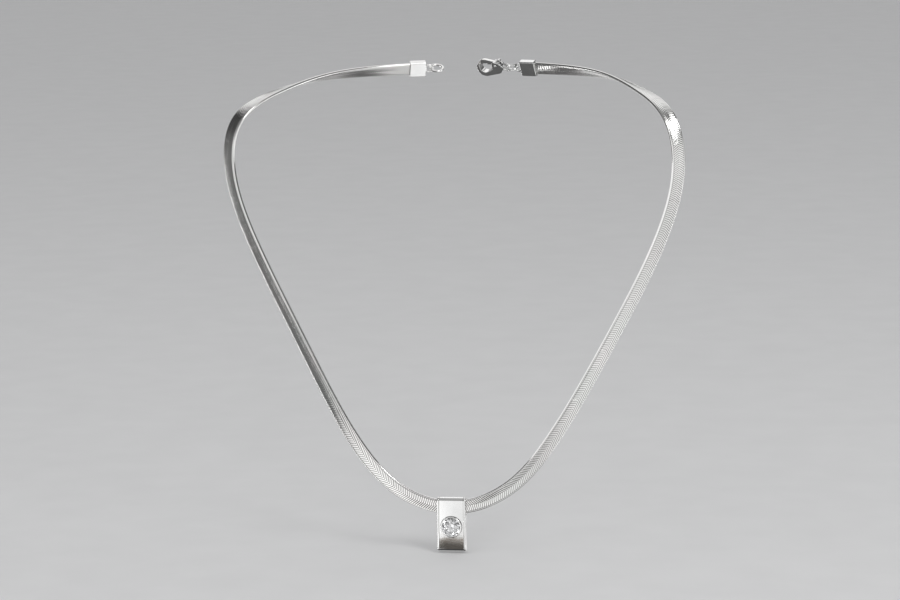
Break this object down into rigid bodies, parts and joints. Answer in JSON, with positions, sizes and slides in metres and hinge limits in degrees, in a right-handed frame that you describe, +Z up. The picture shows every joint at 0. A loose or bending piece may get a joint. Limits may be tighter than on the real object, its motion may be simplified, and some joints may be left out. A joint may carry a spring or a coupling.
{
  "type": "pendant necklace",
  "caption": "Flat herringbone ribbon necklace in polished silver with a folded slide pendant that holds a round clear stone, and a lobster clasp",
  "frame": {"origin": "on the back of the ribbon at the middle of the front, where it lies on the wearer's breastbone", "axes": "+Z up, -Y out of the front, +X to the right of someone facing the front; the ribbon is draped as on a neck"},
  "size_m": [0.1402, 0.0701, 0.1422],
  "materials": {
    "chain_silver": "polished silver, cut in fine herringbone links",
    "pendant_silver": "mirror-polished silver",
    "clasp_silver": "polished cast silver",
    "clear_stone": "clear, faceted, highly polished",
    "spring_steel": "spring steel strip"
  },
  "bodies": {
    "front": {"chain_front": "chain_silver"},
    "ribbon_left_01": {"chain_left_01": "chain_silver"},
    "ribbon_left_02": {"chain_left_02": "chain_silver"},
    "ribbon_left_03": {"chain_left_03": "chain_silver"},
    "ribbon_left_04": {"chain_left_04": "chain_silver"},
    "ribbon_left_05": {"chain_left_05": "chain_silver"},
    "ribbon_left_06": {"chain_left_06": "chain_silver"},
    "ribbon_left_07": {"chain_left_07": "chain_silver"},
    "ribbon_left_08": {"chain_left_08": "chain_silver"},
    "ribbon_left_09": {"chain_left_09": "chain_silver"},
    "ribbon_left_10": {"chain_left_10": "chain_silver"},
    "ribbon_left_11": {"chain_left_11": "chain_silver"},
    "ribbon_left_12": {"chain_left_12": "chain_silver", "end_cap_left": "clasp_silver"},
    "ribbon_right_01": {"chain_right_01": "chain_silver"},
    "ribbon_right_02": {"chain_right_02": "chain_silver"},
    "ribbon_right_03": {"chain_right_03": "chain_silver"},
    "ribbon_right_04": {"chain_right_04": "chain_silver"},
    "ribbon_right_05": {"chain_right_05": "chain_silver"},
    "ribbon_right_06": {"chain_right_06": "chain_silver"},
    "ribbon_right_07": {"chain_right_07": "chain_silver"},
    "ribbon_right_08": {"chain_right_08": "chain_silver"},
    "ribbon_right_09": {"chain_right_09": "chain_silver"},
    "ribbon_right_10": {"chain_right_10": "chain_silver"},
    "ribbon_right_11": {"chain_right_11": "chain_silver"},
    "ribbon_right_12": {"chain_right_12": "chain_silver", "end_cap_right": "clasp_silver"},
    "pendant": {"pendant_band": "pendant_silver", "side_plate_right": "pendant_silver", "side_plate_left": "pendant_silver", "bezel": "pendant_silver", "stone": "clear_stone"},
    "jump_ring": {"jump_ring": "clasp_silver"},
    "clasp": {"clasp_body": "clasp_silver", "clasp_pin": "clasp_silver", "clasp_spring": "spring_steel"},
    "clasp_lever": {"clasp_lever": "clasp_silver"},
    "end_ring": {"end_ring": "clasp_silver"}
  },
  "joints": [
    {"name": "ribbon_bend_left_01", "type": "hinge", "parent": "front", "child": "ribbon_left_01", "pos_m": [-0.01071, -0.00023, 0.0022], "axis": [0.3779, 0.017, 0.9257], "range_deg": [0, 16]},
    {"name": "ribbon_bend_left_02", "type": "hinge", "parent": "ribbon_left_01", "child": "ribbon_left_02", "pos_m": [-0.02407, 0.00127, 0.01202], "axis": [0.7282, -0.1349, 0.672], "range_deg": [0, 16]},
    {"name": "ribbon_bend_left_03", "type": "hinge", "parent": "ribbon_left_02", "child": "ribbon_left_03", "pos_m": [-0.03376, 0.00418, 0.0254], "axis": [0.777, -0.2728, 0.5673], "range_deg": [0, 16]},
    {"name": "ribbon_bend_left_04", "type": "hinge", "parent": "ribbon_left_03", "child": "ribbon_left_04", "pos_m": [-0.04206, 0.00828, 0.03942], "axis": [0.7564, -0.3787, 0.5334], "range_deg": [0, 16]},
    {"name": "ribbon_bend_left_05", "type": "hinge", "parent": "ribbon_left_04", "child": "ribbon_left_05", "pos_m": [-0.04994, 0.01195, 0.05379], "axis": [0.754, -0.4243, 0.5014], "range_deg": [0, 16]},
    {"name": "ribbon_bend_left_06", "type": "hinge", "parent": "ribbon_left_05", "child": "ribbon_left_06", "pos_m": [-0.0576, 0.01452, 0.06851], "axis": [0.7816, -0.4524, 0.4294], "range_deg": [0, 16]},
    {"name": "ribbon_bend_left_07", "type": "hinge", "parent": "ribbon_left_06", "child": "ribbon_left_07", "pos_m": [-0.06425, 0.01503, 0.08391], "axis": [0.8289, -0.4799, 0.2875], "range_deg": [0, 16]},
    {"name": "ribbon_bend_left_08", "type": "hinge", "parent": "ribbon_left_07", "child": "ribbon_left_08", "pos_m": [-0.06809, 0.01405, 0.10018], "axis": [0.8769, -0.4798, 0.0291], "range_deg": [0, 16]},
    {"name": "ribbon_bend_left_09", "type": "hinge", "parent": "ribbon_left_08", "child": "ribbon_left_09", "pos_m": [-0.06523, 0.01561, 0.11616], "axis": [0.8335, -0.508, -0.2175], "range_deg": [0, 16]},
    {"name": "ribbon_bend_left_10", "type": "hinge", "parent": "ribbon_left_09", "child": "ribbon_left_10", "pos_m": [-0.05554, 0.02725, 0.1228], "axis": [0.7783, -0.6224, 0.0824], "range_deg": [0, 16]},
    {"name": "ribbon_bend_left_11", "type": "hinge", "parent": "ribbon_left_10", "child": "ribbon_left_11", "pos_m": [-0.04509, 0.04011, 0.12546], "axis": [0.6237, -0.638, 0.4517], "range_deg": [0, 16]},
    {"name": "ribbon_bend_left_12", "type": "hinge", "parent": "ribbon_left_11", "child": "ribbon_left_12", "pos_m": [-0.03242, 0.05107, 0.12619], "axis": [0.3582, -0.5294, 0.7691], "range_deg": [0, 16]},
    {"name": "ribbon_bend_right_01", "type": "hinge", "parent": "front", "child": "ribbon_right_01", "pos_m": [0.01071, -0.00023, 0.0022], "axis": [0.3779, -0.017, -0.9257], "range_deg": [0, 16]},
    {"name": "ribbon_bend_right_02", "type": "hinge", "parent": "ribbon_right_01", "child": "ribbon_right_02", "pos_m": [0.02407, 0.00127, 0.01202], "axis": [0.7282, 0.1349, -0.672], "range_deg": [0, 16]},
    {"name": "ribbon_bend_right_03", "type": "hinge", "parent": "ribbon_right_02", "child": "ribbon_right_03", "pos_m": [0.03376, 0.00418, 0.0254], "axis": [0.777, 0.2728, -0.5673], "range_deg": [0, 16]},
    {"name": "ribbon_bend_right_04", "type": "hinge", "parent": "ribbon_right_03", "child": "ribbon_right_04", "pos_m": [0.04206, 0.00828, 0.03942], "axis": [0.7564, 0.3787, -0.5334], "range_deg": [0, 16]},
    {"name": "ribbon_bend_right_05", "type": "hinge", "parent": "ribbon_right_04", "child": "ribbon_right_05", "pos_m": [0.04994, 0.01195, 0.05379], "axis": [0.754, 0.4243, -0.5014], "range_deg": [0, 16]},
    {"name": "ribbon_bend_right_06", "type": "hinge", "parent": "ribbon_right_05", "child": "ribbon_right_06", "pos_m": [0.0576, 0.01452, 0.06851], "axis": [0.7816, 0.4524, -0.4294], "range_deg": [0, 16]},
    {"name": "ribbon_bend_right_07", "type": "hinge", "parent": "ribbon_right_06", "child": "ribbon_right_07", "pos_m": [0.06425, 0.01503, 0.08391], "axis": [0.8289, 0.4799, -0.2875], "range_deg": [0, 16]},
    {"name": "ribbon_bend_right_08", "type": "hinge", "parent": "ribbon_right_07", "child": "ribbon_right_08", "pos_m": [0.06809, 0.01405, 0.10018], "axis": [0.8769, 0.4798, -0.0291], "range_deg": [0, 16]},
    {"name": "ribbon_bend_right_09", "type": "hinge", "parent": "ribbon_right_08", "child": "ribbon_right_09", "pos_m": [0.06523, 0.01561, 0.11616], "axis": [0.8335, 0.508, 0.2175], "range_deg": [0, 16]},
    {"name": "ribbon_bend_right_10", "type": "hinge", "parent": "ribbon_right_09", "child": "ribbon_right_10", "pos_m": [0.05554, 0.02725, 0.1228], "axis": [0.7783, 0.6224, -0.0824], "range_deg": [0, 16]},
    {"name": "ribbon_bend_right_11", "type": "hinge", "parent": "ribbon_right_10", "child": "ribbon_right_11", "pos_m": [0.04509, 0.04011, 0.12546], "axis": [0.6237, 0.638, -0.4517], "range_deg": [0, 16]},
    {"name": "ribbon_bend_right_12", "type": "hinge", "parent": "ribbon_right_11", "child": "ribbon_right_12", "pos_m": [0.03242, 0.05107, 0.12619], "axis": [0.3582, 0.5294, -0.7691], "range_deg": [0, 16]},
    {"name": "pendant_slide", "type": "hinge", "parent": "front", "child": "pendant", "pos_m": [0, 0.00121, 0.02638], "axis": [0, 0.9978, -0.0665], "range_deg": [-8, 8]},
    {"name": "jump_ring_swing", "type": "hinge", "parent": "ribbon_right_12", "child": "jump_ring", "pos_m": [0.01304, 0.06054, 0.12618], "axis": [0.1454, 0.3884, -0.91], "range_deg": [-50, 50]},
    {"name": "clasp_swing", "type": "hinge", "parent": "jump_ring", "child": "clasp", "pos_m": [0.01072, 0.06139, 0.12617], "axis": [0.3117, 0.8549, 0.4147], "range_deg": [-50, 50]},
    {"name": "clasp_lever_press", "type": "hinge", "parent": "clasp", "child": "clasp_lever", "pos_m": [0.00685, 0.06236, 0.12707], "axis": [-0.3117, -0.8549, -0.4147], "range_deg": [0, 18], "stiffness_Nm_per_rad": 0.004, "springref_deg": -5.73},
    {"name": "end_ring_swing", "type": "hinge", "parent": "ribbon_left_12", "child": "end_ring", "pos_m": [-0.01304, 0.06054, 0.12618], "axis": [0.1454, -0.3884, 0.91], "range_deg": [-50, 50]}
  ]
}
